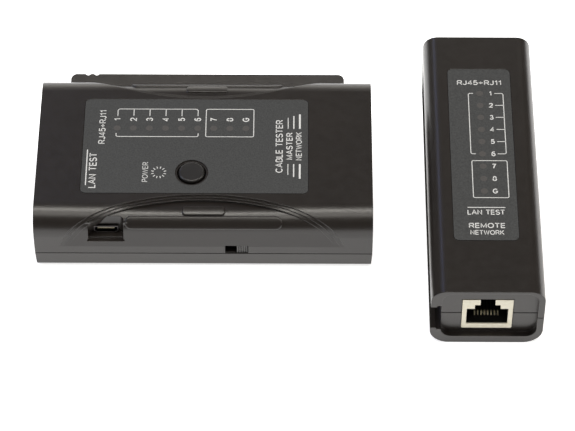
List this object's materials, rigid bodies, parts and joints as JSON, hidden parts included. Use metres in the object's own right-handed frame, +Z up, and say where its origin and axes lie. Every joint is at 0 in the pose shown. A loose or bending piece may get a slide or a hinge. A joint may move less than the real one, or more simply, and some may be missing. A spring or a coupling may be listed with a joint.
{
  "type": "network cable tester",
  "caption": "Two-piece network cable tester: a wide master unit with a test button and lamp row, and a slim remote unit with modular jacks and a docking slot.",
  "frame": {"origin": "middle of the footprint of the two units side by side, on the table", "axes": "+X along the master unit's length, from its jack end to its battery end, towards the remote; +Y from the master's USB side to its docking rail; +Z up"},
  "size_m": [0.1566, 0.105, 0.0246],
  "materials": {
    "shell_black": "satin moulded ABS with a fine spark texture",
    "label_grey": "satin printed overlay with white lettering",
    "button_black": "satin moulded ABS",
    "slider_grey": "matte ribbed nylon",
    "jack_cream": "smooth cream thermoplastic",
    "gold": "gold flash over phosphor bronze",
    "plated_steel": "nickel-plated pressed steel",
    "usb_tongue": "moulded liquid-crystal polymer with gold pads",
    "lamp_clear": "water-clear epoxy",
    "board_green": "green solder mask over glass-epoxy",
    "chip_black": "moulded epoxy",
    "resistor": "ceramic with tinned ends",
    "battery_case": "printed metal jacket",
    "lead_red": "PVC sleeve",
    "lead_black": "PVC sleeve",
    "spring_steel": "tempered strip",
    "zinc_screw": "zinc-plated"
  },
  "bodies": {
    "master": {"master_upper_shell": "shell_black", "master_lower_shell": "shell_black", "master_label": "label_grey", "tact_switch": "chip_black", "slide_switch_case": "plated_steel", "master_rj45_housing": "jack_cream", "master_rj45_contacts": "gold", "master_rj11_housing": "jack_cream", "master_rj11_contacts": "gold", "usb_shell": "plated_steel", "usb_tongue": "usb_tongue", "master_lamps": "lamp_clear", "power_lamp": "lamp_clear", "master_main_board": "board_green", "master_top_board": "board_green", "board_header": "chip_black", "master_chips": "chip_black", "master_resistors": "resistor", "battery": "battery_case", "battery_snap": "chip_black", "battery_lead_red": "lead_red", "battery_lead_black": "lead_black", "master_screws": "zinc_screw"},
    "test_button": {"test_button": "button_black", "switch_plunger": "button_black"},
    "slide_switch": {"slide_switch_slider": "slider_grey"},
    "battery_door": {"battery_door": "shell_black"},
    "remote": {"remote_upper_shell": "shell_black", "remote_lower_shell": "shell_black", "remote_label": "label_grey", "remote_rj45_housing": "jack_cream", "remote_rj45_contacts": "gold", "remote_rj11_housing": "jack_cream", "remote_rj11_contacts": "gold", "remote_lamps": "lamp_clear", "remote_board": "board_green", "remote_resistors": "resistor", "remote_click_spring": "spring_steel", "remote_screws": "zinc_screw"}
  },
  "joints": [
    {"name": "test_button_press", "type": "slide", "parent": "master", "child": "test_button", "axis": [0, 0, -1], "range_m": [0, 0.0005], "stiffness_N_per_m": 1500, "springref_m": -0.0002},
    {"name": "slide_switch_travel", "type": "slide", "parent": "master", "child": "slide_switch", "axis": [-1, 0, 0], "range_m": [0, 0.0034]},
    {"name": "battery_door_slide", "type": "slide", "parent": "master", "child": "battery_door", "axis": [1, 0, 0], "range_m": [0, 0.016]},
    {"name": "remote_lift", "type": "slide", "parent": "master", "child": "remote", "axis": [0, 0, 1], "range_m": [0, 0.06]}
  ]
}
